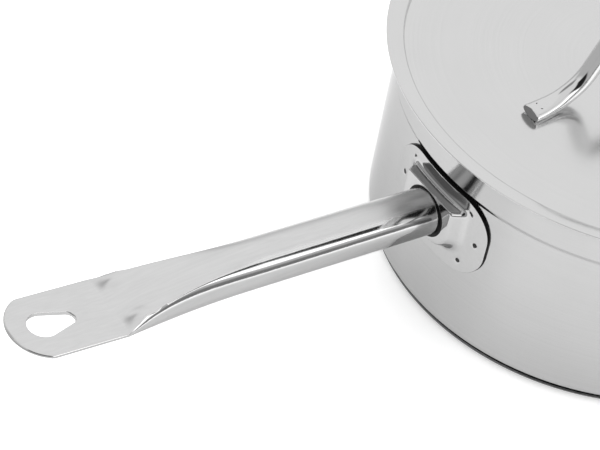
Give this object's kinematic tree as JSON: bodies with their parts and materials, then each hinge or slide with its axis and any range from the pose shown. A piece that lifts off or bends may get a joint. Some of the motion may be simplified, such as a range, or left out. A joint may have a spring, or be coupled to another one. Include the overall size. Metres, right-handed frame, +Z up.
{
  "type": "saucepan with lid",
  "caption": "Wide stainless steel saucepan with a recessed flat lid, a long tubular handle flattened to a hanging eye, and a bowed bar grip on the lid.",
  "frame": {"origin": "centre of the underside of the base", "axes": "+Z up along the pan's axis; the long handle points along -X; the object is symmetric about the XZ plane"},
  "size_m": [0.4736, 0.2574, 0.1522],
  "materials": {
    "pan_steel": "satin",
    "spreader_aluminium": "matte",
    "cap_steel": "satin",
    "bracket_steel": "polished",
    "weld_steel": "matte",
    "handle_steel": "satin top, polished sides",
    "lid_steel": "fine circular satin",
    "grip_steel": "polished"
  },
  "bodies": {
    "pan": {"pan_body": "pan_steel", "base_heat_spreader": "spreader_aluminium", "base_cap": "cap_steel", "handle_bracket": "bracket_steel", "bracket_spot_welds": "weld_steel", "handle_tube": "handle_steel", "handle_weld_bead": "weld_steel"},
    "lid": {"lid_panel": "lid_steel", "lid_grip": "grip_steel", "lid_grip_spot_welds": "weld_steel"}
  },
  "joints": [
    {"name": "lid_lift", "type": "slide", "parent": "pan", "child": "lid", "axis": [0, 0, 1], "range_m": [0, 0.15]}
  ]
}
